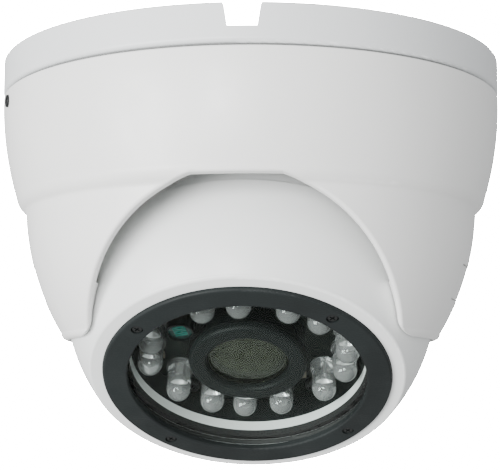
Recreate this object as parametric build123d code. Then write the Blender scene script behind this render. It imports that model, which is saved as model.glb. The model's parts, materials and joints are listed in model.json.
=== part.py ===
from build123d import *
import os
from math import asin, cos, radians, sin, sqrt

# Ceiling-mounted dome camera, in millimetres. Z = 0 is the ceiling face, the camera hangs below it,
# and its front is towards -Y. The parts of the ball are drawn on the ball's own axis: the lens looks
# along that axis, heights on it are called w, and the ball's centre is w = 0.

os.makedirs("parts", exist_ok=True)

# ---------------------------------------------------------------- driving dimensions
BASE_R = 52.0                 # outer radius of the base ring
BASE_LOW = -7.26              # lower face of the base rim
RIM_INNER_R = 48.8
WEB_TOP = -4.7                # ceiling side of the base's web
SPIGOT_R = 48.4
SPIGOT_INNER_R = 45.8
SPIGOT_LOW = -14.6
GROOVE_Z = -10.3              # height of the set screws and of the groove that they run in
RING_SEAT_Z = -13.0           # height of the o-ring seat
NOTCH_TURN = 1.5              # the notch stands this many degrees round from the front
NOTCH_TOP_W = 6.5
NOTCH_LOW_W = 5.35
NOTCH_DEPTH = 4.35
FIXING_R = 38.0               # pitch radius of the three ceiling screw holes
FIXING_HOLE_R = 2.3
CABLE_HOLE_Y = 24.0
CABLE_HOLE_R = 4.6

COVER_TOP = -7.76             # the parting gap is 0.5 wide
COVER_WALL = 2.5
POCKET_LOW = -47.6            # floor of the free space between the shell and the ball
CHEEK_HIGH = -40.0            # the cheeks that hold the pivots are solid below this
CHEEK_WIDTH = 44.0
SKIRT_LOW = -57.4
ARCH_R = 29.5                 # radius of the front arch
ARCH_Z = -58.0                # height of the arch's centre
ARCH_FLAT_Z = -29.7           # the arch's crown is cut off flat here
ARCH_EDGE_R = 0.6             # rounding of the arch's outer edge
ARCH_FOOT_R = 3.6             # rounding of the skirt's corners beside the arch
SET_SCREW_R = 1.25
SET_SCREW_HIGH = 52.35        # the set screws stand a little proud of the cover
SET_SCREW_TURN = 204.0        # direction of the first set screw, the second is opposite

BALL_Z = -46.9                # height of the ball's centre
BALL_R = 38.7
SEAT_R = 39.1                 # spherical seat in the cover
DOWN_ANGLE = 55.0             # how far below horizontal the lens looks at rest
RIM_W = 22.8                  # flat front of the white shell
GIMBAL_HALF = 4.5             # half width of the gimbal ring
HUB_R = 35.1                  # hub that the gimbal ring turns on
HUB_INNER_R = 32.9
SHOULDER_W = 4.8
CAVITY_R = 35.9

PIVOT_R = 1.5                 # shoulder of the pivot screws
PLATE_LENGTH = 28.0           # pivot cover
PLATE_HEIGHT = 6.6
PLATE_Z = -46.2
PLATE_THICK = 0.75
PLATE_INSET = 0.12            # the plate sits this much below the cover's skin

BEZEL_R = 28.7
BEZEL_W = 23.6
WINDOW_R = 23.8               # clear radius inside the bezel
GLASS_R = 24.9
GLASS_LOW = 20.4
GLASS_HIGH = 22.4
GASKET_LOW = 18.8
CUP_HIGH = 16.6
CUP_FLOOR_LOW = 8.0
BOARD_LOW = 9.6
BOARD_HIGH = 11.2
BEZEL_SCREW_R = 26.3
BEZEL_SCREW_TURN = 49.9
EAR_R = 28.6                  # pitch radius of the cup's screws
POST_X = 13.0
POST_Y = 17.0
MAIN_HIGH = -10.8
MAIN_LOW = -12.4
SHELL_SCREW_R = 30.6

LED_R = 2.5
LED_DOME_W = 17.3
LED_OVAL_X = 20.2             # the leds stand on an oval
LED_OVAL_Y = 16.3
LED_ANGLES = (-15, 7, 44, 65, 93, 114, 162, 187, 222, 246, 266, 288, 319)
SENSOR_X = -13.4
SENSOR_Y = 6.1
LENS_OPENING_R = 8.3
SHROUD_R = 11.9
SHROUD_W = 19.3

BALL_AXIS = (0, -cos(radians(DOWN_ANGLE)), -sin(radians(DOWN_ANGLE)))
BALL_PLANE = Plane(origin=(0, 0, BALL_Z), x_dir=(1, 0, 0), z_dir=BALL_AXIS)


# ---------------------------------------------------------------- helpers
def disc(radius, low, high):
    """Cylinder on the Z axis between two heights."""
    return Pos(0, 0, (low + high) / 2) * Cylinder(radius, abs(high - low))


def tube(outer, inner, low, high):
    return disc(outer, low, high) - disc(inner, low, high)


def block(x_size, y_size, low, high):
    return Pos(0, 0, (low + high) / 2) * Box(x_size, y_size, abs(high - low))


def turned(*edges):
    """Solid of revolution about Z; the edges are drawn in (radius, height)."""
    return revolve(Plane.XZ * make_face(Wire(list(edges))), Axis.Z)


def lathe(*points):
    """Solid of revolution of a straight-sided section given as (radius, height) points."""
    return revolve(Plane.XZ * make_face(Polyline(*points, close=True)), Axis.Z)


def around(shape, angles):
    return [Rot(0, 0, angle) * shape for angle in angles]


def on_sphere(radius, w):
    """Distance from the axis of a sphere's point at height w."""
    return sqrt(radius * radius - w * w)


def cross_screw(head_r, head_high, shank_r, length):
    """Pan-head screw along Z: head above z = 0, shank below, cross recess in the head."""
    head = fillet(disc(head_r, 0, head_high).edges().sort_by(Axis.Z)[-1], head_high * 0.45)
    slot = block(head_r * 1.15, head_r * 0.26, head_high * 0.45, head_high + 1)
    return head + disc(shank_r, -length, 0) - slot - Rot(0, 0, 90) * slot


def save(name, shape):
    export_step(shape, f"parts/{name}.step")


def group(pieces):
    """Separate solids kept together in one node."""
    return Compound([piece.solid() for piece in pieces])


def ball_part(name, shape):
    """Write a part that was drawn on the ball's own axis."""
    if isinstance(shape, list):
        shape = group(shape)
    save(name, BALL_PLANE.location * shape)


# ---------------------------------------------------------------- base
def base_ring():
    rim = turned(
        Line((0, WEB_TOP), (RIM_INNER_R, WEB_TOP)),
        Line((RIM_INNER_R, WEB_TOP), (RIM_INNER_R, 0)),
        Line((RIM_INNER_R, 0), (BASE_R - 0.3, 0)),
        ThreePointArc((BASE_R - 0.3, 0), (BASE_R - 0.09, -0.09), (BASE_R, -0.3)),
        Line((BASE_R, -0.3), (BASE_R, BASE_LOW + 0.9)),
        ThreePointArc((BASE_R, BASE_LOW + 0.9), (BASE_R - 0.26, BASE_LOW + 0.26), (BASE_R - 0.9, BASE_LOW)),
        Line((BASE_R - 0.9, BASE_LOW), (SPIGOT_R, BASE_LOW)),
        Line((SPIGOT_R, BASE_LOW), (SPIGOT_R, SPIGOT_LOW)),
        Line((SPIGOT_R, SPIGOT_LOW), (SPIGOT_INNER_R, SPIGOT_LOW)),
        Line((SPIGOT_INNER_R, SPIGOT_LOW), (SPIGOT_INNER_R, BASE_LOW)),
        Line((SPIGOT_INNER_R, BASE_LOW), (0, BASE_LOW)),
        Line((0, BASE_LOW), (0, WEB_TOP)),
    )
    screw_groove = lathe(
        (SPIGOT_R + 1, GROOVE_Z + 1.5), (47.3, GROOVE_Z + 0.4),
        (47.3, GROOVE_Z - 0.4), (SPIGOT_R + 1, GROOVE_Z - 1.5),
    )
    seal_groove = tube(SPIGOT_R + 1, 47.2, RING_SEAT_Z - 0.95, RING_SEAT_Z + 0.95)
    body = rim - screw_groove - seal_groove
    boss = Pos(FIXING_R, 0, 0) * disc(4.5, BASE_LOW, 0)
    boss += Pos((FIXING_R + RIM_INNER_R) / 2, 0, 0) * block(RIM_INNER_R - FIXING_R, 2.0, WEB_TOP - 1, -0.6)
    rib = Pos(24, 0, 0) * block(18, 1.8, WEB_TOP - 1, -1.5)
    for piece in around(boss, (90, 210, 330)) + around(rib, (0, 45, 135, 180, 225, 315)):
        body += piece
    hole = Pos(FIXING_R, 0, 0) * disc(FIXING_HOLE_R, BASE_LOW - 1, 1)
    recess = Pos(FIXING_R, 0, 0) * disc(4.3, BASE_LOW - 1, BASE_LOW + 2.2)
    for piece in around(hole, (90, 210, 330)) + around(recess, (90, 210, 330)):
        body -= piece
    body -= Pos(0, CABLE_HOLE_Y, 0) * disc(CABLE_HOLE_R, BASE_LOW - 1, 1)
    half_top = NOTCH_TOP_W / 2
    half_low = NOTCH_LOW_W / 2
    notch_face = make_face(Polyline(
        (-half_top - 0.9, 1), (half_top + 0.9, 1), (half_top, -0.6), (half_low, -NOTCH_DEPTH),
        (-half_low, -NOTCH_DEPTH), (-half_top, -0.6), close=True))
    notch = Pos(0, -RIM_INNER_R + 3, 0) * extrude(Plane.XZ * notch_face, 10)
    return body - Rot(0, 0, NOTCH_TURN) * notch


def cable_grommet():
    body = disc(CABLE_HOLE_R, BASE_LOW - 1.4, WEB_TOP + 1.4)
    body += disc(6.0, WEB_TOP, WEB_TOP + 1.4)
    body += disc(6.0, BASE_LOW - 1.4, BASE_LOW)
    body -= disc(3.5, BASE_LOW - 3, 1)
    return Pos(0, CABLE_HOLE_Y, 0) * body


def make_base():
    save("base_ring", base_ring())
    save("base_o_ring", Pos(0, 0, RING_SEAT_Z) * Torus(48.1, 0.88))
    save("cable_grommet", cable_grommet())


# ---------------------------------------------------------------- cover
def cover_skin(inset):
    """Solid inside the cover's outer surface, moved inwards by the inset."""
    top = (51.95 - inset, COVER_TOP - 0.35)
    lip = (48.9 - inset, -28.4)
    waist = (46.87 - inset, -32.0)
    tip = (39.3 - inset, -56.05)
    return turned(
        Line((0, COVER_TOP), (51.6 - inset, COVER_TOP)),
        ThreePointArc((51.6 - inset, COVER_TOP), (51.85 - inset, COVER_TOP - 0.1), top),
        ThreePointArc(top, (51.2 - inset, -18.5), lip),
        ThreePointArc(lip, (48.4 - inset, -29.8), (47.45 - inset, -30.85)),
        ThreePointArc((47.45 - inset, -30.85), (47.02 - inset, -31.35), waist),
        ThreePointArc(waist, (45.05 - inset, -42.9), tip),
        ThreePointArc(tip, (38.95 - inset, -56.95), (38.2 - inset, SKIRT_LOW)),
        Line((38.2 - inset, SKIRT_LOW), (0, SKIRT_LOW)),
        Line((0, SKIRT_LOW), (0, COVER_TOP)),
    )


def arch_outline(grow):
    """Flat outline of the arch opening: a circle cut off level at the crown and below the skirt."""
    circle = Pos(0, ARCH_Z) * Circle(ARCH_R + grow)
    low = SKIRT_LOW - 5
    high = ARCH_FLAT_Z + grow
    return circle & Pos(0, (low + high) / 2) * Rectangle(140, high - low)


def arch_prism(grow):
    return extrude(Plane.XZ * arch_outline(grow), 70)


def arch_feet():
    """Cutter that rounds the skirt's corners on both sides of the arch."""
    middle_z = SKIRT_LOW / 2
    wall = Pos(0, middle_z) * Rectangle(140, -SKIRT_LOW) - arch_outline(0)
    feet = wall.vertices().sort_by(Axis.Y)[:4].sort_by(lambda corner: abs(corner.X))[:2]
    rounded = fillet(feet, ARCH_FOOT_R)
    band = Pos(0, SKIRT_LOW + 1) * Rectangle(76, 14)
    return extrude(Plane.XZ * (band - rounded), 70)


def on_arch_edge(edge, core):
    """True for the edges where the arch wall meets the cover's outer skin, outside the core."""
    for point in (edge @ 0, edge @ 0.5, edge @ 1):
        arch_distance = sqrt(point.X ** 2 + (point.Z - ARCH_Z) ** 2)
        ball_distance = sqrt(point.X ** 2 + point.Y ** 2 + (point.Z - BALL_Z) ** 2)
        if point.Y > -15 or not ARCH_R - 1.5 < arch_distance < ARCH_R + 0.01:
            return False
        if ball_distance < SEAT_R + 0.3:
            return False
    return not core.is_inside(edge @ 0.5)


def plate_prism(grow):
    """Side-to-side prism of the pivot covers' outline."""
    outline = RectangleRounded(PLATE_LENGTH + 2 * grow, PLATE_HEIGHT + 2 * grow, 1.5 + grow)
    return Pos(0, 0, PLATE_Z) * extrude(Plane.YZ * outline, 60)


def set_screw_place():
    return Pos(0, 0, GROOVE_Z) * Rot(0, 90, 0)


def cover_shell():
    ball_place = Pos(0, 0, BALL_Z)
    hollow = cover_skin(COVER_WALL)
    hollow += disc(51.95 - COVER_WALL - 0.35, COVER_TOP - 1, COVER_TOP + 5)
    hollow -= block(150, 150, POCKET_LOW - 40, POCKET_LOW)
    hollow -= block(150, CHEEK_WIDTH, CHEEK_HIGH - 40, CHEEK_HIGH)
    shell = cover_skin(0) - ball_place * Sphere(SEAT_R) - arch_prism(0)
    core = cover_skin(COVER_WALL / 2)
    edges = [edge for edge in shell.edges() if on_arch_edge(edge, core)]
    shell = fillet(edges, ARCH_EDGE_R) - hollow - arch_feet()
    screw_hole = set_screw_place() * disc(SET_SCREW_R + 0.05, 44, 60)
    for hole in around(screw_hole, (SET_SCREW_TURN, SET_SCREW_TURN + 180)):
        shell -= hole
    plate_seat = (plate_prism(0.25) + Rot(0, 0, 180) * plate_prism(0.25)) - cover_skin(PLATE_INSET + PLATE_THICK)
    pivot_holes = Rot(0, 90, 0) * disc(2.0, -60, 60)
    head_holes = Rot(0, 90, 0) * (disc(2.5, -60, -41.0) + disc(2.5, 41.0, 60))
    return shell - plate_seat - ball_place * pivot_holes - ball_place * head_holes


def pivot_cover():
    plate = cover_skin(PLATE_INSET) - cover_skin(PLATE_INSET + PLATE_THICK)
    return plate & plate_prism(0)


def pivot_screw():
    """Shoulder screw on the right-hand tilt pivot, lying along X."""
    screw = disc(PIVOT_R, 35.6, 39.3) + disc(1.95, 39.3, 41.0) + disc(2.4, 41.0, 41.85)
    screw -= Pos(0, 0, 41.85) * block(3.6, 0.7, -0.45, 1)
    return Pos(0, 0, BALL_Z) * Rot(0, 90, 0) * screw


def set_screw():
    screw = disc(SET_SCREW_R, 48.9, SET_SCREW_HIGH)
    screw = fillet(screw.edges().sort_by(Axis.Z)[-1], 0.2)
    screw += Pos(0, 0, 48.4) * Cone(0.35, SET_SCREW_R, 1.0)
    screw -= Pos(0, 0, SET_SCREW_HIGH + 0.1) * extrude(RegularPolygon(0.75, 6), -1.7)
    return set_screw_place() * screw


def make_cover():
    save("cover_shell", cover_shell())
    save("cover_set_screws", group(around(set_screw(), (SET_SCREW_TURN, SET_SCREW_TURN + 180))))
    for side, turn in (("right", 0), ("left", 180)):
        save(f"pivot_cover_{side}", Rot(0, 0, turn) * pivot_cover())
        save(f"pivot_screw_{side}", Rot(0, 0, turn) * pivot_screw())


# ---------------------------------------------------------------- gimbal
def gimbal_ring():
    ring = Sphere(38.3) & block(100, 100, -GIMBAL_HALF, GIMBAL_HALF)
    ring -= disc(HUB_R + 0.3, -20, 20)
    ring -= Rot(0, 90, 0) * disc(2.6, -60, 60)
    return ring


def make_gimbal():
    bush = Rot(0, 90, 0) * tube(2.6, PIVOT_R + 0.05, 35.5, 38.15)
    ball_part("gimbal_ring", gimbal_ring())
    ball_part("pivot_bushes", around(bush, (0, 180)))


# ---------------------------------------------------------------- ball shells
def shell_arc(radius, w_from, w_to):
    """Arc of a sphere's outline between two heights."""
    w_mid = radius * sin((asin(w_from / radius) + asin(w_to / radius)) / 2)
    return ThreePointArc(
        (on_sphere(radius, w_from), w_from),
        (on_sphere(radius, w_mid), w_mid),
        (on_sphere(radius, w_to), w_to),
    )


def front_shell():
    edge_w = RIM_W - 0.55
    edge_r = on_sphere(BALL_R, edge_w)
    shoulder_r = on_sphere(BALL_R, SHOULDER_W)
    body = turned(
        Line((HUB_INNER_R, -SHOULDER_W), (HUB_R, -SHOULDER_W)),
        Line((HUB_R, -SHOULDER_W), (HUB_R, SHOULDER_W)),
        Line((HUB_R, SHOULDER_W), (shoulder_r, SHOULDER_W)),
        shell_arc(BALL_R, SHOULDER_W, edge_w),
        ThreePointArc((edge_r, edge_w), (edge_r - 0.33, RIM_W - 0.12), (edge_r - 0.85, RIM_W)),
        Line((edge_r - 0.85, RIM_W), (BEZEL_R + 0.1, RIM_W)),
        Line((BEZEL_R + 0.1, RIM_W), (BEZEL_R + 0.1, 21.6)),
        Line((BEZEL_R + 0.1, 21.6), (GLASS_R + 0.1, 21.6)),
        Line((GLASS_R + 0.1, 21.6), (GLASS_R + 0.1, GASKET_LOW)),
        Line((GLASS_R + 0.1, GASKET_LOW), (WINDOW_R, GASKET_LOW)),
        Line((WINDOW_R, GASKET_LOW), (WINDOW_R, CUP_HIGH)),
        Line((WINDOW_R, CUP_HIGH), (HUB_INNER_R - 1.6, CUP_HIGH)),
        Line((HUB_INNER_R - 1.6, CUP_HIGH), (HUB_INNER_R, CUP_HIGH - 2.4)),
        Line((HUB_INNER_R, CUP_HIGH - 2.4), (HUB_INNER_R, -SHOULDER_W)),
    )
    post = Pos(EAR_R, 0, 0) * (disc(2.6, BOARD_LOW, CUP_HIGH) - disc(1.1, 0, 14.6))
    for piece in around(post, (90, 210, 330)):
        body += piece
    boss = Pos(SHELL_SCREW_R, 0, 0) * disc(3.0, -SHOULDER_W, 6.0)
    boss &= disc(HUB_INNER_R + 0.5, -20, 20)
    for piece in around(boss, (30, 150, 270)):
        body += piece
    for piece in around(Pos(SHELL_SCREW_R, 0, 0) * disc(1.5, -SHOULDER_W - 1, 3.0), (30, 150, 270)):
        body -= piece
    screw_hole = Pos(BEZEL_SCREW_R, 0, 0) * disc(0.8, 18.2, 30)
    for piece in around(screw_hole, [BEZEL_SCREW_TURN + 90 * k for k in range(4)]):
        body -= piece
    return body


def rear_shell():
    pole_w = -on_sphere(BALL_R, 5.6)
    land_w = -SHOULDER_W - 2.6
    body = turned(
        Line((on_sphere(CAVITY_R, land_w), land_w), (HUB_INNER_R, land_w)),
        Line((HUB_INNER_R, land_w), (HUB_INNER_R, -SHOULDER_W)),
        Line((HUB_INNER_R, -SHOULDER_W), (on_sphere(BALL_R, SHOULDER_W), -SHOULDER_W)),
        shell_arc(BALL_R, -SHOULDER_W, pole_w),
        Line((5.6, pole_w), (5.6, -37.2)),
        Line((5.6, -37.2), (3.2, -37.2)),
        Line((3.2, -37.2), (3.2, -on_sphere(CAVITY_R, 3.2))),
        shell_arc(CAVITY_R, -on_sphere(CAVITY_R, 3.2), land_w),
    )
    column = Pos(SHELL_SCREW_R, 0, 0) * disc(3.8, -30, -SHOULDER_W) & Sphere(BALL_R - 0.8)
    bore = Pos(SHELL_SCREW_R, 0, 0) * (disc(2.4, -40, -12.0) + disc(1.6, -40, 0))
    for piece in around(column, (30, 150, 270)):
        body += piece
    for piece in around(bore, (30, 150, 270)):
        body -= piece
    return body - tube(34.8, 33.4, -SHOULDER_W - 1.2, -SHOULDER_W + 1)


def rear_cable_gland():
    gland = disc(5.4, -38.1, -37.2) + disc(3.2, -37.2, -35.4) + disc(4.8, -35.4, -34.4)
    gland = fillet(gland.edges().sort_by(Axis.Z)[0], 0.4)
    return gland - disc(2.2, -50, 0)


def make_shells():
    shell_screw = Pos(SHELL_SCREW_R, 0, -12.0) * Rot(180, 0, 0) * cross_screw(2.2, 1.7, 1.4, 14.5)
    ball_part("ball_front_shell", front_shell())
    ball_part("ball_rear_shell", rear_shell())
    ball_part("shell_seal", Pos(0, 0, -SHOULDER_W - 0.6) * Torus(34.1, 0.57))
    ball_part("shell_screws", around(shell_screw, (30, 150, 270)))
    ball_part("rear_cable_gland", rear_cable_gland())


# ---------------------------------------------------------------- window
def bezel_ring():
    body = turned(
        Line((GLASS_R + 0.1, 21.6), (BEZEL_R, 21.6)),
        Line((BEZEL_R, 21.6), (BEZEL_R, BEZEL_W - 0.5)),
        ThreePointArc((BEZEL_R, BEZEL_W - 0.5), (BEZEL_R - 0.15, BEZEL_W - 0.15), (BEZEL_R - 0.5, BEZEL_W)),
        Line((BEZEL_R - 0.5, BEZEL_W), (WINDOW_R + 0.35, BEZEL_W)),
        ThreePointArc((WINDOW_R + 0.35, BEZEL_W), (WINDOW_R + 0.1, BEZEL_W - 0.1), (WINDOW_R, BEZEL_W - 0.35)),
        Line((WINDOW_R, BEZEL_W - 0.35), (WINDOW_R, GLASS_HIGH)),
        Line((WINDOW_R, GLASS_HIGH), (GLASS_R + 0.1, GLASS_HIGH)),
        Line((GLASS_R + 0.1, GLASS_HIGH), (GLASS_R + 0.1, 21.6)),
    )
    hole = Pos(BEZEL_SCREW_R, 0, 0) * (disc(0.8, 20, 30) + disc(1.2, BEZEL_W - 0.8, 30))
    for piece in around(hole, [BEZEL_SCREW_TURN + 90 * k for k in range(4)]):
        body -= piece
    return body


def make_window():
    bezel_screw = Pos(BEZEL_SCREW_R, 0, BEZEL_W - 0.8) * cross_screw(1.1, 0.6, 0.75, 3.8)
    ball_part("bezel_ring", bezel_ring())
    ball_part("bezel_screws", around(bezel_screw, [BEZEL_SCREW_TURN + 90 * k for k in range(4)]))
    ball_part("window_glass", disc(GLASS_R, GLASS_LOW, GLASS_HIGH))
    ball_part("window_gasket", tube(GLASS_R, WINDOW_R, GASKET_LOW, GLASS_LOW))


# ---------------------------------------------------------------- led board
def led_cup():
    body = disc(27.0, CUP_FLOOR_LOW, BOARD_LOW)
    for ear in around(Pos(EAR_R, 0, 0) * disc(3.2, CUP_FLOOR_LOW, BOARD_LOW), (90, 210, 330)):
        body += ear
    body += tube(25.8, WINDOW_R, BOARD_LOW, CUP_HIGH)
    body -= disc(10.2, 0, 30)
    for hole in around(Pos(EAR_R, 0, 0) * disc(1.25, 0, 30), (90, 210, 330)):
        body -= hole
    for place in post_places():
        body -= place * disc(1.25, 0, 30)
    return body


def post_places():
    return [Pos(x, y, 0) for x in (-POST_X, POST_X) for y in (-POST_Y, POST_Y)]


def led_board():
    body = tube(23.6, 10.0, BOARD_LOW, BOARD_HIGH)
    for place in post_places():
        body -= place * disc(1.25, 0, 30)
    return body


def oval_place(angle):
    return Pos(LED_OVAL_X * cos(radians(angle)), LED_OVAL_Y * sin(radians(angle)), 0)


def led():
    return turned(
        Line((0, BOARD_HIGH), (2.9, BOARD_HIGH)),
        Line((2.9, BOARD_HIGH), (2.9, BOARD_HIGH + 1.0)),
        Line((2.9, BOARD_HIGH + 1.0), (LED_R, BOARD_HIGH + 1.0)),
        Line((LED_R, BOARD_HIGH + 1.0), (LED_R, LED_DOME_W)),
        ThreePointArc((LED_R, LED_DOME_W), (LED_R * cos(radians(45)), LED_DOME_W + LED_R * sin(radians(45))),
                      (0, LED_DOME_W + LED_R)),
        Line((0, LED_DOME_W + LED_R), (0, BOARD_HIGH)),
    )


def sensor_sleeve():
    sleeve = tube(2.85, 2.5, BOARD_HIGH, 16.0)
    return Pos(SENSOR_X, SENSOR_Y, 0) * sleeve


def light_sensor():
    cell = disc(2.42, 13.4, 15.3)
    legs = [Pos(x, 0, 0) * disc(0.25, BOARD_HIGH, 13.4) for x in (-1.2, 1.2)]
    return Pos(SENSOR_X, SENSOR_Y, 0) * (cell + legs[0] + legs[1])


def make_led_board():
    cup_screw = Pos(EAR_R, 0, CUP_FLOOR_LOW) * Rot(180, 0, 0) * cross_screw(2.1, 1.5, 1.05, 6.0)
    board_screw = Pos(0, 0, BOARD_HIGH) * cross_screw(1.8, 1.3, 1.15, 8.0)
    resistor = block(1.0, 2.0, BOARD_HIGH, BOARD_HIGH + 0.55)
    ball_part("led_cup", led_cup())
    ball_part("cup_screws", around(cup_screw, (90, 210, 330)))
    ball_part("led_board", led_board())
    ball_part("led_board_screws", [place * board_screw for place in post_places()])
    ball_part("led_board_resistors", [oval_place(angle) * resistor for angle in (26, 137, 204, 303)])
    ball_part("infrared_leds", [oval_place(angle) * led() for angle in LED_ANGLES])
    ball_part("sensor_sleeve", sensor_sleeve())
    ball_part("light_sensor", light_sensor())


# ---------------------------------------------------------------- lens
def lens_shroud():
    low = 16.9
    return turned(
        Line((LENS_OPENING_R, BOARD_HIGH), (11.2, BOARD_HIGH)),
        Line((11.2, BOARD_HIGH), (11.2, BOARD_HIGH + 1.0)),
        Line((11.2, BOARD_HIGH + 1.0), (9.7, BOARD_HIGH + 1.0)),
        Line((9.7, BOARD_HIGH + 1.0), (9.7, low)),
        Line((9.7, low), (SHROUD_R - 0.6, low)),
        ThreePointArc((SHROUD_R - 0.6, low), (SHROUD_R - 0.18, low + 0.18), (SHROUD_R, low + 0.6)),
        Line((SHROUD_R, low + 0.6), (SHROUD_R, SHROUD_W - 0.9)),
        ThreePointArc((SHROUD_R, SHROUD_W - 0.9), (SHROUD_R - 0.26, SHROUD_W - 0.26), (SHROUD_R - 0.9, SHROUD_W)),
        Line((SHROUD_R - 0.9, SHROUD_W), (LENS_OPENING_R + 0.6, SHROUD_W)),
        ThreePointArc((LENS_OPENING_R + 0.6, SHROUD_W), (LENS_OPENING_R + 0.18, SHROUD_W - 0.18),
                      (LENS_OPENING_R, SHROUD_W - 0.6)),
        Line((LENS_OPENING_R, SHROUD_W - 0.6), (LENS_OPENING_R, BOARD_HIGH)),
    )


def lens_barrel():
    return lathe(
        (4.1, -2.0), (6.0, -2.0), (6.0, 13.0), (8.0, 13.0), (8.0, 17.9), (7.4, 17.9), (7.4, 15.4),
        (4.6, 15.4), (4.6, 2.0), (4.1, 2.0),
    )


def dome_tool(edge_r, edge_w, crown_w):
    """Sphere on the axis through a circular edge, with its crown at the given height."""
    rise = crown_w - edge_w
    radius = (edge_r * edge_r + rise * rise) / (2 * rise)
    return Pos(0, 0, crown_w - radius) * Sphere(radius)


def lens_front_element():
    body = disc(7.4, 15.4, 19.0) & dome_tool(7.4, 17.2, 18.9)
    return body - dome_tool(5.4, 15.4, 17.2)


def lens_aperture_ring():
    return lathe((4.6, 8.0), (4.6, 10.5), (4.0, 10.5), (1.5, 8.6), (1.5, 8.0))


def lens_rear_element():
    return disc(4.1, -1.6, 2.5) & dome_tool(4.1, 0.6, 1.9)


def lens_lock_ring():
    ring = tube(8.1, 6.0, 4.6, 6.6)
    for notch in around(Pos(8.1, 0, 0) * block(1.4, 1.6, 4, 7), range(0, 360, 45)):
        ring -= notch
    return ring


def lens_holder():
    body = block(16, 16, MAIN_HIGH, -2.8) + disc(7.6, -2.8, 4.6)
    body -= block(12.4, 12.4, MAIN_HIGH - 1, -4.4)
    body -= disc(4.2, -5, -2)
    return body - disc(6.0, -2.8, 10)


def make_lens():
    ball_part("lens_shroud", lens_shroud())
    ball_part("lens_barrel", lens_barrel())
    ball_part("lens_front_element", lens_front_element())
    ball_part("lens_aperture_ring", lens_aperture_ring())
    ball_part("lens_rear_element", lens_rear_element())
    ball_part("lens_lock_ring", lens_lock_ring())
    ball_part("lens_holder", lens_holder())
    ball_part("infrared_filter", block(9, 9, -4.9, -4.4))


# ---------------------------------------------------------------- main board
def main_board():
    body = block(34, 42, MAIN_LOW, MAIN_HIGH)
    for place in post_places():
        body -= place * disc(1.25, -20, 0)
    return body


def board_standoff():
    return extrude(Pos(0, 0, MAIN_HIGH) * RegularPolygon(2.9, 6), CUP_FLOOR_LOW - MAIN_HIGH) - disc(1.2, -20, 20)


def board_chips():
    low = MAIN_LOW
    return [
        Pos(-3, 2, 0) * block(10, 10, low - 1.2, low),
        Pos(9, 4, 0) * block(5, 6, low - 1.5, low),
        Pos(-12, -2, 0) * block(4, 5, low - 1.0, low),
        Pos(-3, -9, 0) * block(6, 4, low - 1.5, low),
        Pos(12, -6, 0) * disc(3.0, low - 5.5, low),
    ]


def board_connector():
    body = Pos(0, 16, 0) * block(12, 5, MAIN_LOW - 6, MAIN_LOW)
    return body - Pos(0, 16, 0) * block(10.4, 3.4, MAIN_LOW - 7, MAIN_LOW - 1.2)


def make_main_board():
    rear_screw = Pos(0, 0, MAIN_LOW) * Rot(180, 0, 0) * cross_screw(1.9, 1.4, 1.15, 6.0)
    ball_part("image_sensor", block(10, 10, MAIN_HIGH, MAIN_HIGH + 1.4))
    ball_part("main_board", main_board())
    ball_part("main_board_screws", [place * rear_screw for place in post_places()])
    ball_part("board_standoffs", [place * board_standoff() for place in post_places()])
    ball_part("board_chips", board_chips())
    ball_part("board_connector", board_connector())


make_base()
make_cover()
make_gimbal()
make_shells()
make_window()
make_led_board()
make_lens()
make_main_board()
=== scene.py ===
import json
import math

import bmesh
import bpy
from mathutils import Matrix, Vector


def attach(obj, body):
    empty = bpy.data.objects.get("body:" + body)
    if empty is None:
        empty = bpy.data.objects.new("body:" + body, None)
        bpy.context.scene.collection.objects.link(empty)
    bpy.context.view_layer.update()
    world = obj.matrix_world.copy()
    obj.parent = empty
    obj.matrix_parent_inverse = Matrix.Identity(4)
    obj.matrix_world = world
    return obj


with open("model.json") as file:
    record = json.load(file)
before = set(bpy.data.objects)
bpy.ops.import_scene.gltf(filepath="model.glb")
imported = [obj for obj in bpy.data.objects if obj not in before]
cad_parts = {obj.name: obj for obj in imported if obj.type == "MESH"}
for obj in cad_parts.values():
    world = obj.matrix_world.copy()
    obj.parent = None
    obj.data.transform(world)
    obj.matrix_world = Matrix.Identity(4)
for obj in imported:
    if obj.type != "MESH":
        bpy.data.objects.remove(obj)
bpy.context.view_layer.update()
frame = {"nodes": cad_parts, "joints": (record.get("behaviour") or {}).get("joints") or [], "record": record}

MM = 0.001

# ---------------------------------------------------------------- the ball's own axis
# The ball's parts are placed in (u, v, w): u to the right, v up the window, w along the lens.
DOWN_ANGLE = math.radians(55)
BALL_CENTRE = Vector(frame["joints"][1]["pos_m"])
AXIS_U = Vector((1, 0, 0))
AXIS_V = Vector((0, -math.sin(DOWN_ANGLE), math.cos(DOWN_ANGLE)))
AXIS_W = Vector((0, -math.cos(DOWN_ANGLE), -math.sin(DOWN_ANGLE)))
BALL_MATRIX = Matrix((
    (AXIS_U.x, AXIS_V.x, AXIS_W.x, BALL_CENTRE.x),
    (AXIS_U.y, AXIS_V.y, AXIS_W.y, BALL_CENTRE.y),
    (AXIS_U.z, AXIS_V.z, AXIS_W.z, BALL_CENTRE.z),
    (0, 0, 0, 1),
))

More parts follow.
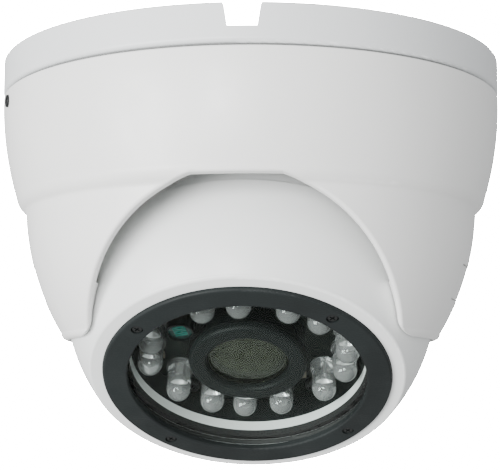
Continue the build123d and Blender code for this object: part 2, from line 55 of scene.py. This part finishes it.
# ---------------------------------------------------------------- sizes inside the ball, in millimetres
BOARD_TOP = 11.2
LED_OVAL_X = 20.2
LED_OVAL_Y = 16.3
LED_TWIST = 37                # degrees from one led's posts to the next
LED_ANGLES = (-15, 7, 44, 65, 93, 114, 162, 187, 222, 246, 266, 288, 319)
SENSOR_PLACE = (-13.4, 6.1)
SENSOR_TOP = 15.3
SENSOR_TURN = math.radians(12)
CUP_FLOOR_W = 15.05           # where the chip sits in a led's reflector cup
CUP_RIM_W = 16.0
CUP_LOW_W = 14.2
CUP_POST_TOP_W = 14.3
WIRE_POST_TOP_W = 14.9
CHIP_TOP_W = 15.3
TRACK_ROWS = 5
TRACK_PITCH = 0.62
TRACK_HALF_LENGTH = 1.25
TRACK_HALF_WIDTH = 0.19
TRACK_THICK = 0.10
CAP_R = 8.0                   # coated cap over the front lens
CAP_EDGE_W = 17.98
CAP_RISE = 1.07
CAP_THICK = 0.06
BEAD_INNER_R = 24.92          # bead around the window glass
BEAD_OUTER_R = 24.98
BEAD_LOW = 20.42
BEAD_HIGH = 21.56


# ---------------------------------------------------------------- camera, lights and stage
SENSOR_MM = 36.0
LENS_MM = 96.66
LENS_SHIFT = -0.0017
CAMERA_DISTANCE = 0.28356
CAMERA_TARGET = Vector((0, 0, -0.034965))
CAMERA_AZIMUTH = math.radians(3.2)
CAMERA_ELEVATION = math.radians(-7.19)
LIGHT_AIM = Vector((0, 0, -0.04))
FLOOR_Z = -1.2
FLOOR_SIZE = 8
AMBIENT_STRENGTH = 0.78
BACKDROP_STRENGTH = 80.0
NOISE_LOW = 0.3               # the middle range of a noise, which a colour or a value is spread over
NOISE_HIGH = 0.7


def make_camera():
    data = bpy.data.cameras.new("camera")
    data.sensor_width = SENSOR_MM
    data.lens = LENS_MM
    data.shift_x = LENS_SHIFT
    data.clip_start = 0.01
    data.clip_end = 100
    camera = bpy.data.objects.new("camera", data)
    bpy.context.scene.collection.objects.link(camera)
    away = Vector((
        math.sin(CAMERA_AZIMUTH) * math.cos(CAMERA_ELEVATION),
        -math.cos(CAMERA_AZIMUTH) * math.cos(CAMERA_ELEVATION),
        math.sin(CAMERA_ELEVATION),
    ))
    camera.location = CAMERA_TARGET + away * CAMERA_DISTANCE
    camera.rotation_mode = "QUATERNION"
    camera.rotation_quaternion = (-away).to_track_quat("-Z", "Y")
    bpy.context.scene.camera = camera


def area_light(name, place, size, power):
    """Square soft box that faces the object."""
    data = bpy.data.lights.new(name, "AREA")
    data.shape = "RECTANGLE"
    data.size = size
    data.size_y = size
    data.energy = power
    light = bpy.data.objects.new(name, data)
    bpy.context.scene.collection.objects.link(light)
    light.location = place
    light.rotation_euler = (LIGHT_AIM - Vector(place)).to_track_quat("-Z", "Y").to_euler()


def make_world():
    """A bright studio: plain white to the camera, softer as a source of light."""
    world = bpy.data.worlds.new("studio")
    bpy.context.scene.world = world
    world.use_nodes = True
    tree = world.node_tree
    tree.nodes.clear()
    output = tree.nodes.new("ShaderNodeOutputWorld")
    mix = tree.nodes.new("ShaderNodeMixShader")
    path = tree.nodes.new("ShaderNodeLightPath")
    soft = tree.nodes.new("ShaderNodeBackground")
    seen = tree.nodes.new("ShaderNodeBackground")
    soft.inputs["Color"].default_value = (0.97, 0.985, 1.0, 1)
    soft.inputs["Strength"].default_value = AMBIENT_STRENGTH
    seen.inputs["Color"].default_value = (1, 1, 1, 1)
    seen.inputs["Strength"].default_value = BACKDROP_STRENGTH
    tree.links.new(path.outputs["Is Camera Ray"], mix.inputs[0])
    tree.links.new(soft.outputs[0], mix.inputs[1])
    tree.links.new(seen.outputs[0], mix.inputs[2])
    tree.links.new(mix.outputs[0], output.inputs["Surface"])


def make_stage():
    """Plain pale floor well below the camera, which hangs in the air."""
    bpy.ops.mesh.primitive_plane_add(size=FLOOR_SIZE, location=(0, 0, FLOOR_Z))
    floor = bpy.context.object
    floor.name = "floor"
    floor.data.materials.append(paint_like("floor_white", (0.82, 0.82, 0.81), 0.75, 40, 0.02, 0.0002))


# ---------------------------------------------------------------- materials
def nodes_of(name):
    """New material with its node tree and its shader."""
    material = bpy.data.materials.new(name)
    material.use_nodes = True
    tree = material.node_tree
    return material, tree, tree.nodes["Principled BSDF"]


def noise(tree, scale, detail=3.0):
    node = tree.nodes.new("ShaderNodeTexNoise")
    node.inputs["Scale"].default_value = scale
    node.inputs["Detail"].default_value = detail
    coordinates = tree.nodes.new("ShaderNodeTexCoord")
    tree.links.new(coordinates.outputs["Object"], node.inputs["Vector"])
    return node


def spread(tree, source, low, high):
    """Map a noise's middle range to a pair of values."""
    node = tree.nodes.new("ShaderNodeMapRange")
    node.inputs["From Min"].default_value = NOISE_LOW
    node.inputs["From Max"].default_value = NOISE_HIGH
    node.inputs["To Min"].default_value = low
    node.inputs["To Max"].default_value = high
    tree.links.new(source, node.inputs["Value"])
    return node.outputs["Result"]


def vary_colour(tree, shader, colour, scale, amount):
    """Base colour that drifts a little either side of the given one."""
    ramp = tree.nodes.new("ShaderNodeValToRGB")
    ramp.color_ramp.elements[0].position = NOISE_LOW
    ramp.color_ramp.elements[1].position = NOISE_HIGH
    ramp.color_ramp.elements[0].color = (*[c * (1 - amount) for c in colour], 1)
    ramp.color_ramp.elements[1].color = (*[min(1, c * (1 + amount)) for c in colour], 1)
    tree.links.new(noise(tree, scale).outputs["Fac"], ramp.inputs["Fac"])
    tree.links.new(ramp.outputs["Color"], shader.inputs["Base Color"])


def add_bump(tree, shader, scale, strength, distance):
    bump = tree.nodes.new("ShaderNodeBump")
    bump.inputs["Strength"].default_value = strength
    bump.inputs["Distance"].default_value = distance
    tree.links.new(noise(tree, scale, 2.0).outputs["Fac"], bump.inputs["Height"])
    tree.links.new(bump.outputs["Normal"], shader.inputs["Normal"])


def paint_like(name, colour, rough, grain, strength, distance, metal=0.0, spread_by=0.06, amount=0.02,
               gloss=0.45):
    """Opaque finish with uneven roughness and a fine grain."""
    material, tree, shader = nodes_of(name)
    vary_colour(tree, shader, colour, 60, amount)
    uneven = spread(tree, noise(tree, 180).outputs["Fac"], rough - spread_by, rough + spread_by)
    tree.links.new(uneven, shader.inputs["Roughness"])
    shader.inputs["Metallic"].default_value = metal
    shader.inputs["Specular IOR Level"].default_value = gloss
    add_bump(tree, shader, grain, strength, distance)
    return material


def thin_glass(name, tint, head_on, slanted, grazing):
    """Clear sheet: what is behind it, plus a reflection whose share grows with the angle."""
    material = bpy.data.materials.new(name)
    material.use_nodes = True
    tree = material.node_tree
    tree.nodes.clear()
    output = tree.nodes.new("ShaderNodeOutputMaterial")
    mix = tree.nodes.new("ShaderNodeMixShader")
    clear = tree.nodes.new("ShaderNodeBsdfTransparent")
    gloss = tree.nodes.new("ShaderNodeBsdfGlossy")
    angle = tree.nodes.new("ShaderNodeLayerWeight")
    angle.inputs["Blend"].default_value = 0.5
    share = tree.nodes.new("ShaderNodeValToRGB")
    share.color_ramp.elements[0].position = 0.35
    share.color_ramp.elements[0].color = (head_on, head_on, head_on, 1)
    share.color_ramp.elements[1].position = 1.0
    share.color_ramp.elements[1].color = (grazing, grazing, grazing, 1)
    share.color_ramp.elements.new(0.65).color = (slanted, slanted, slanted, 1)
    clear.inputs["Color"].default_value = (*tint, 1)
    gloss.inputs["Color"].default_value = (0.95, 1, 0.93, 1)
    rough = spread(tree, noise(tree, 90).outputs["Fac"], 0.01, 0.04)
    tree.links.new(rough, gloss.inputs["Roughness"])
    tree.links.new(angle.outputs["Facing"], share.inputs["Fac"])
    tree.links.new(share.outputs["Color"], mix.inputs[0])
    tree.links.new(clear.outputs[0], mix.inputs[1])
    tree.links.new(gloss.outputs[0], mix.inputs[2])
    tree.links.new(mix.outputs[0], output.inputs["Surface"])
    return material


def glassy(name, colour, transmission, rough, ior=1.5, coat=0.0, coat_ior=1.5):
    """Smooth tinted material, as clear as its transmission says, with a slightly uneven polish."""
    material, tree, shader = nodes_of(name)
    vary_colour(tree, shader, colour, 300, 0.03)
    gloss = spread(tree, noise(tree, 500).outputs["Fac"], rough * 0.6, rough * 1.4)
    tree.links.new(gloss, shader.inputs["Roughness"])
    shader.inputs["Transmission Weight"].default_value = transmission
    shader.inputs["IOR"].default_value = ior
    shader.inputs["Coat Weight"].default_value = coat
    shader.inputs["Coat Roughness"].default_value = 0.06
    shader.inputs["Coat IOR"].default_value = coat_ior
    return material


def board_finish(name, mask, copper):
    """Solder mask over copper tracks that show as a slightly lighter net."""
    material, tree, shader = nodes_of(name)
    cells = tree.nodes.new("ShaderNodeTexVoronoi")
    cells.distance = "CHEBYCHEV"
    cells.feature = "DISTANCE_TO_EDGE"
    cells.inputs["Scale"].default_value = 420
    coordinates = tree.nodes.new("ShaderNodeTexCoord")
    tree.links.new(coordinates.outputs["Object"], cells.inputs["Vector"])
    ramp = tree.nodes.new("ShaderNodeValToRGB")
    ramp.color_ramp.interpolation = "CONSTANT"
    ramp.color_ramp.elements[0].color = (*copper, 1)
    ramp.color_ramp.elements[1].color = (*mask, 1)
    ramp.color_ramp.elements[1].position = 0.09
    tree.links.new(cells.outputs["Distance"], ramp.inputs["Fac"])
    tree.links.new(ramp.outputs["Color"], shader.inputs["Base Color"])
    gloss = spread(tree, noise(tree, 300).outputs["Fac"], 0.28, 0.42)
    tree.links.new(gloss, shader.inputs["Roughness"])
    shader.inputs["Specular IOR Level"].default_value = 0.15
    bump = tree.nodes.new("ShaderNodeBump")
    bump.inputs["Strength"].default_value = 0.2
    bump.inputs["Distance"].default_value = 0.00004
    tree.links.new(cells.outputs["Distance"], bump.inputs["Height"])
    tree.links.new(bump.outputs["Normal"], shader.inputs["Normal"])
    return material


def bare_metal(name, colour, rough):
    """Bare metal with a fine uneven grain."""
    return paint_like(name, colour, rough, 3000, 0.12, 0.00003, metal=1.0, spread_by=0.08, amount=0.06)


# One material for each slot in the record.
SLOT_MATERIALS = {
    "white_paint": paint_like("white_paint", (0.80, 0.80, 0.785), 0.36, 1400, 0.10, 0.00006, amount=0.012),
    "ball_paint": paint_like("ball_paint", (0.79, 0.805, 0.795), 0.34, 1400, 0.08, 0.00006, amount=0.012),
    "bezel_black": paint_like("bezel_black", (0.010, 0.013, 0.013), 0.6, 2600, 0.55, 0.00010,
                              spread_by=0.10, amount=0.25, gloss=0.2),
    "black_plastic": paint_like("black_plastic", (0.008, 0.010, 0.010), 0.45, 1800, 0.05, 0.00002,
                                amount=0.2, gloss=0.12),
    "black_rubber": paint_like("black_rubber", (0.018, 0.018, 0.018), 0.72, 1200, 0.2, 0.00006, amount=0.2),
    "window": thin_glass("window", (0.93, 0.955, 0.945), 0.003, 0.03, 0.8),
    "led_epoxy": glassy("led_epoxy", (0.97, 0.98, 0.985), 0.88, 0.02, 1.48),
    "lens_glass": glassy("lens_glass", (0.13, 0.135, 0.10), 0.93, 0.02, 1.75, coat=0.5, coat_ior=1.6),
    "filter_glass": glassy("filter_glass", (0.55, 0.80, 0.82), 0.9, 0.02),
    "board_mask": board_finish("board_mask", (0.004, 0.007, 0.006), (0.007, 0.011, 0.009)),
    "main_mask": board_finish("main_mask", (0.015, 0.12, 0.05), (0.03, 0.20, 0.09)),
    "chip_black": paint_like("chip_black", (0.03, 0.03, 0.032), 0.5, 2500, 0.2, 0.00003, amount=0.2),
    "sensor_package": paint_like("sensor_package", (0.06, 0.06, 0.07), 0.3, 1500, 0.05, 0.00002, amount=0.1),
    "ceramic": paint_like("ceramic", (0.16, 0.14, 0.11), 0.45, 1800, 0.15, 0.00003, amount=0.15),
    "light_cell": paint_like("light_cell", (0.02, 0.05, 0.045), 0.25, 1200, 0.08, 0.00003, amount=0.15),
    "white_nylon": paint_like("white_nylon", (0.80, 0.78, 0.70), 0.45, 900, 0.1, 0.00004, amount=0.03),
    "black_screw": paint_like("black_screw", (0.006, 0.007, 0.007), 0.45, 2500, 0.2, 0.00003,
                              amount=0.2, gloss=0.3),
    "steel": bare_metal("steel", (0.58, 0.58, 0.57), 0.30),
    "brass": bare_metal("brass", (0.72, 0.55, 0.27), 0.28),
    "lens_black": paint_like("lens_black", (0.010, 0.010, 0.010), 0.38, 2200, 0.05, 0.00002,
                             amount=0.2, gloss=0.15),
}

# Painted shade: the base gets a greyer copy of the cover's white paint, with which it shares a slot, standing
# in for the shade that falls on it.
BASE_SHADED_PAINT = paint_like("white_paint_base_shaded", (0.69, 0.705, 0.71), 0.38, 1400, 0.10, 0.00006, amount=0.012)


def finish_cad_nodes():
    """Give every node from the CAD the material of its slot, and the base a greyer copy of its paint as
    painted shade.
    """
    for row in frame["record"]["subparts"]:
        node = frame["nodes"][row["node"]]
        material = SLOT_MATERIALS[row["material_slot"]]
        # painted shade: the base ring takes the greyer copy of the white paint
        if row["node"] == "base_ring":
            material = BASE_SHADED_PAINT
        node.data.materials.clear()
        node.data.materials.append(material)


# ---------------------------------------------------------------- mesh helpers
def new_piece(name, mesh_tool, body, material):
    """Turn a finished bmesh into a smooth-shaded piece that rides on a body."""
    mesh = bpy.data.meshes.new(name)
    mesh_tool.normal_update()
    mesh_tool.to_mesh(mesh)
    mesh_tool.free()
    piece = bpy.data.objects.new(name, mesh)
    bpy.context.scene.collection.objects.link(piece)
    mesh.materials.append(material)
    for face in mesh.polygons:
        face.use_smooth = True
    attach(piece, body)
    return piece


def soften_edges(piece, width):
    bevel = piece.modifiers.new("bevel", "BEVEL")
    bevel.width = width
    bevel.segments = 2
    bevel.limit_method = "ANGLE"
    bevel.angle_limit = math.radians(35)
    bevel.harden_normals = True


def lathe(mesh_tool, profile, steps, place):
    """Surface of revolution of (radius, height) points in millimetres, placed by a matrix."""
    rings = []
    for radius, height in profile:
        if radius < 1e-6:
            rings.append([mesh_tool.verts.new(place @ Vector((0, 0, height * MM)))])
            continue
        ring = []
        for step in range(steps):
            angle = 2 * math.pi * step / steps
            point = Vector((radius * math.cos(angle), radius * math.sin(angle), height)) * MM
            ring.append(mesh_tool.verts.new(place @ point))
        rings.append(ring)
    for lower, upper in zip(rings, rings[1:]):
        for step in range(steps):
            following = (step + 1) % steps
            corners = [lower[step % len(lower)], lower[following % len(lower)],
                       upper[following % len(upper)], upper[step % len(upper)]]
            unique = list(dict.fromkeys(corners))
            if len(unique) > 2:
                mesh_tool.faces.new(unique)


def slab(mesh_tool, outline, low, high, place):
    """Prism over an outline of (u, v) points in millimetres between two heights."""
    bottom = [mesh_tool.verts.new(place @ (Vector((x, y, low)) * MM)) for x, y in outline]
    top = [mesh_tool.verts.new(place @ (Vector((x, y, high)) * MM)) for x, y in outline]
    mesh_tool.faces.new(bottom[::-1])
    mesh_tool.faces.new(top)
    for index in range(len(outline)):
        following = (index + 1) % len(outline)
        mesh_tool.faces.new((bottom[index], bottom[following], top[following], top[index]))


def ribbon(mesh_tool, line, half_width, low, high, place):
    """Raised track of constant width along a line of (u, v) points."""
    left, right = [], []
    for index, (x, y) in enumerate(line):
        before = Vector(line[max(0, index - 1)])
        after = Vector(line[min(len(line) - 1, index + 1)])
        along = (after - before).normalized()
        side = Vector((-along.y, along.x)) * half_width
        left.append((x + side.x, y + side.y))
        right.append((x - side.x, y - side.y))
    slab_strip(mesh_tool, left, right, low, high, place)


def slab_strip(mesh_tool, left, right, low, high, place):
    """Closed strip between two lines of points, from one height to another."""
    rows = []
    for (lx, ly), (rx, ry) in zip(left, right):
        rows.append([mesh_tool.verts.new(place @ (Vector(p) * MM)) for p in (
            (lx, ly, low), (lx, ly, high), (rx, ry, high), (rx, ry, low))])
    for first, second in zip(rows, rows[1:]):
        for index in range(4):
            following = (index + 1) % 4
            mesh_tool.faces.new((first[index], second[index], second[following], first[following]))
    mesh_tool.faces.new(rows[0])
    mesh_tool.faces.new(rows[-1][::-1])


def ball_place(u=0.0, v=0.0, turn=0.0):
    """Matrix that puts a piece at (u, v) on the ball's axis, turned about it."""
    return BALL_MATRIX @ Matrix.Translation(Vector((u, v, 0)) * MM) @ Matrix.Rotation(turn, 4, "Z")


# ---------------------------------------------------------------- pieces inside the window
def led_places():
    """Number and (u, v) of each led on its oval."""
    for number, degrees in enumerate(LED_ANGLES):
        angle = math.radians(degrees)
        yield number, LED_OVAL_X * math.cos(angle), LED_OVAL_Y * math.sin(angle)


def strip(left, right, half_width):
    """Rectangle from left to right, centred on the u axis."""
    return (left, -half_width), (right, -half_width), (right, half_width), (left, half_width)


def make_lead_frames():
    """Two posts in each led, one with the reflector cup, and the chip in the cup."""
    metal = bmesh.new()
    chips = bmesh.new()
    cup = (
        (0.0, CUP_FLOOR_W), (0.42, CUP_FLOOR_W), (0.95, CUP_RIM_W), (1.08, CUP_RIM_W),
        (1.08, 15.2), (0.55, CUP_LOW_W), (0.0, CUP_LOW_W),
    )
    for number, u, v in led_places():
        place = ball_place(u, v, math.radians(LED_TWIST * number))
        lathe(metal, cup, 24, place)
        slab(metal, strip(-0.85, 0.35, 0.25), BOARD_TOP, CUP_POST_TOP_W, place)
        slab(metal, strip(0.80, 1.35, 0.25), BOARD_TOP, WIRE_POST_TOP_W, place)
        slab(metal, strip(0.95, 1.75, 0.2), CUP_LOW_W, WIRE_POST_TOP_W, place)
        slab(chips, strip(-0.2, 0.2, 0.2), CUP_FLOOR_W, CHIP_TOP_W, place)
    bright = bare_metal("lead_frame_silver", (0.95, 0.95, 0.94), 0.30)
    frames = new_piece("led_lead_frames", metal, "ball", bright)
    soften_edges(frames, 0.05 * MM)
    chip = paint_like("led_chip", (0.30, 0.28, 0.30), 0.25, 2500, 0.1, 0.00002, amount=0.1)
    new_piece("led_chips", chips, "ball", chip)


def make_sensor_track():
    """Zigzag track on top of the light cell."""
    track = bmesh.new()
    u, v = SENSOR_PLACE
    place = ball_place(u, v, SENSOR_TURN)
    line = []
    for row in range(TRACK_ROWS):
        y = (row - (TRACK_ROWS - 1) / 2) * TRACK_PITCH
        start = -TRACK_HALF_LENGTH if row % 2 == 0 else TRACK_HALF_LENGTH
        line += [(start, y), (-start, y)]
    ribbon(track, line, TRACK_HALF_WIDTH, SENSOR_TOP, SENSOR_TOP + TRACK_THICK, place)
    teal = glassy("cell_track", (0.015, 0.22, 0.18), 0.0, 0.3)
    new_piece("light_cell_track", track, "ball", teal)


def make_lens_rings():
    """Black baffle rings stepped down inside the lens barrel, and the amber lens at their foot."""
    rings = bmesh.new()
    place = ball_place()
    steps_down = (
        (5.3, 15.3), (4.55, 15.3), (4.55, 14.6), (3.9, 14.2),
        (3.9, 13.4), (3.3, 13.0), (3.3, 12.2), (4.5, 11.6),
    )
    lathe(rings, steps_down, 72, place)
    black = paint_like("baffle_black", (0.016, 0.015, 0.012), 0.4, 2200, 0.12, 0.00003, amount=0.2, gloss=0.2)
    new_piece("lens_baffles", rings, "ball", black)
    pupil = bmesh.new()
    lathe(pupil, ((0.0, 12.6), (1.1, 12.5), (2.1, 12.2), (2.9, 11.7), (3.2, 11.3)), 48, place)
    amber = glassy("inner_lens", (0.10, 0.06, 0.03), 0.3, 0.05, 1.6, coat=1.0)
    new_piece("lens_inner_element", pupil, "ball", amber)


def make_meniscus():
    """Thin coated cap over the front lens, which laps onto the rim of the barrel."""
    cap = bmesh.new()
    steps = 14
    shares = [1 - k / steps for k in range(steps + 1)]
    outer = [(CAP_R * share, CAP_EDGE_W + CAP_RISE * (1 - share ** 2)) for share in shares]
    inner = [(radius, height - CAP_THICK) for radius, height in reversed(outer)]
    lathe(cap, outer + inner + outer[:1], 96, ball_place())
    coated = thin_glass("lens_coating", (0.62, 0.64, 0.55), 0.045, 0.09, 0.7)
    new_piece("lens_front_meniscus", cap, "ball", coated)


def make_glass_edge():
    """Thin black bead around the window glass, which hides the white wall seen through its edge."""
    bead = bmesh.new()
    section = (
        (BEAD_INNER_R, BEAD_LOW), (BEAD_OUTER_R, BEAD_LOW),
        (BEAD_OUTER_R, BEAD_HIGH), (BEAD_INNER_R, BEAD_HIGH), (BEAD_INNER_R, BEAD_LOW),
    )
    lathe(bead, section, 128, ball_place())
    new_piece("glass_edge_bead", bead, "ball", SLOT_MATERIALS["black_rubber"])


make_camera()
make_world()
make_stage()
area_light("key", (-0.68, -0.74, -0.15), size=0.5, power=18.5)
area_light("spark", (-0.08, -0.50, -0.02), size=0.16, power=2.0)
finish_cad_nodes()
make_lead_frames()
make_sensor_track()
make_lens_rings()
make_meniscus()
make_glass_edge()
